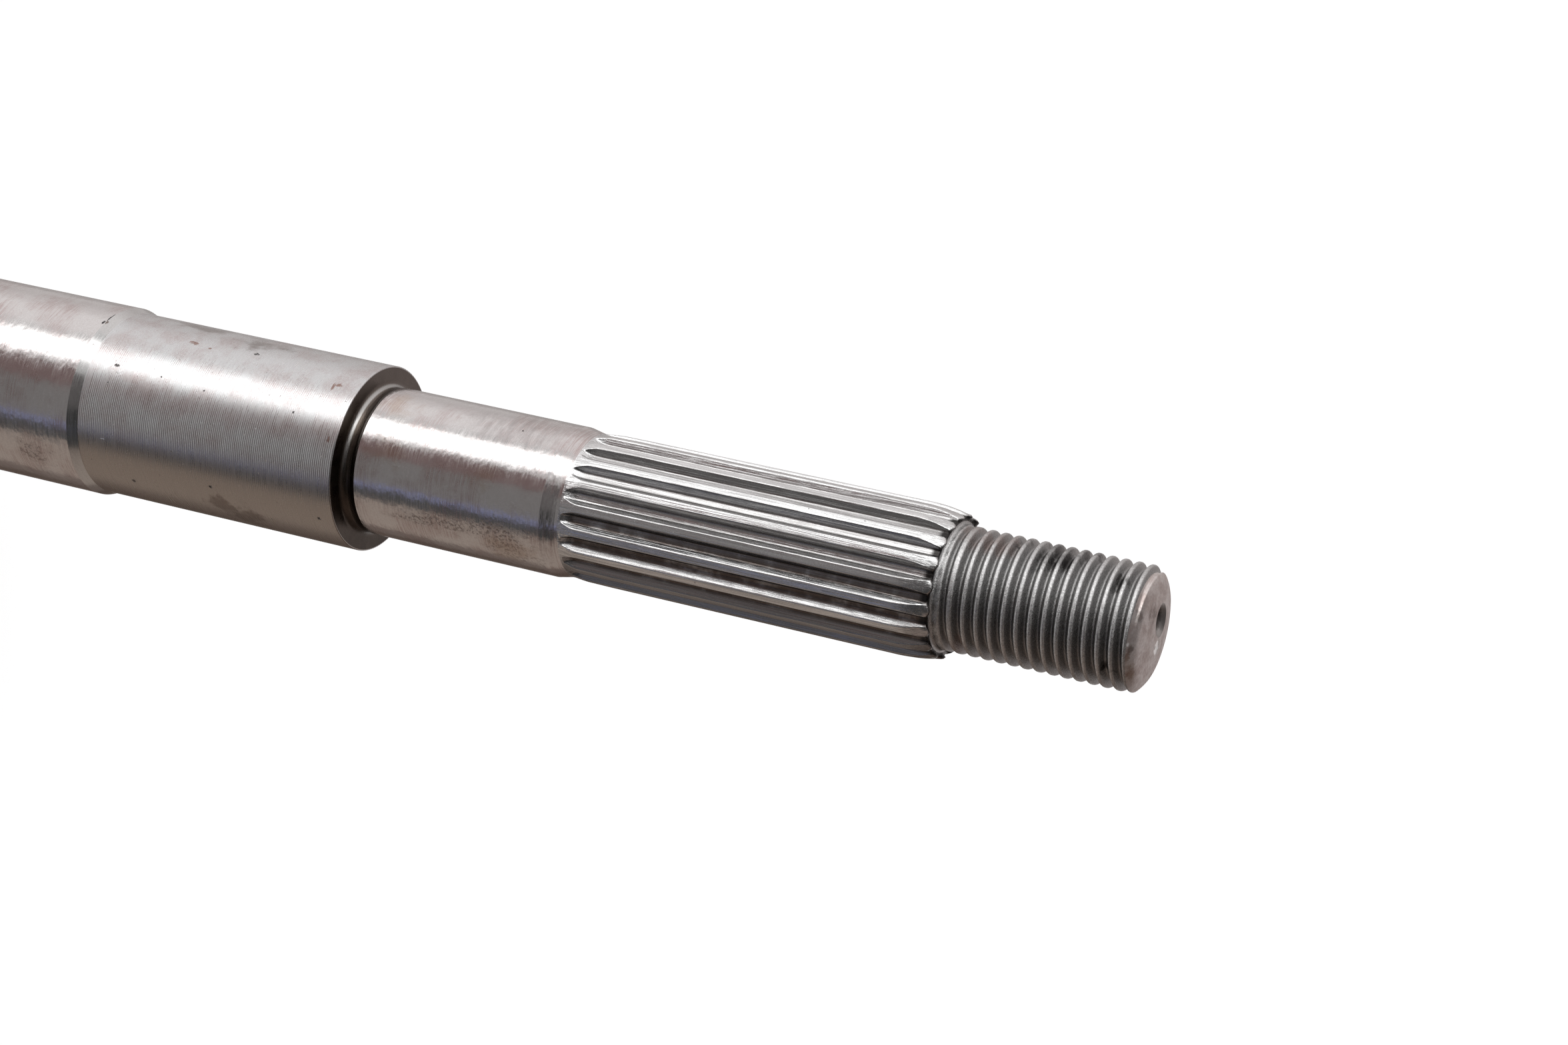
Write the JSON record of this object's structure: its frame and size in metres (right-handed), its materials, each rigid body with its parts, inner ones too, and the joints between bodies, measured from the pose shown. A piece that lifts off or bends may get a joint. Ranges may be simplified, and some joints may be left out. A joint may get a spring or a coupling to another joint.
{
  "type": "transmission shaft",
  "caption": "Stepped steel gearbox output shaft with two seats, an undercut shoulder, a bearing journal, an involute spline and a threaded end.",
  "frame": {"origin": "centre of the plain end's face, on the shaft's axis", "axes": "+Z along the shaft's axis from the plain end to the threaded tip, +X through the middle of a tooth gap of the spline"},
  "size_m": [0.0228, 0.0228, 0.1807],
  "materials": {
    "shaft_steel": "turned and ground steel, oily, with light stains"
  },
  "bodies": {
    "root": {"transmission_shaft": "shaft_steel"}
  },
  "joints": []
}
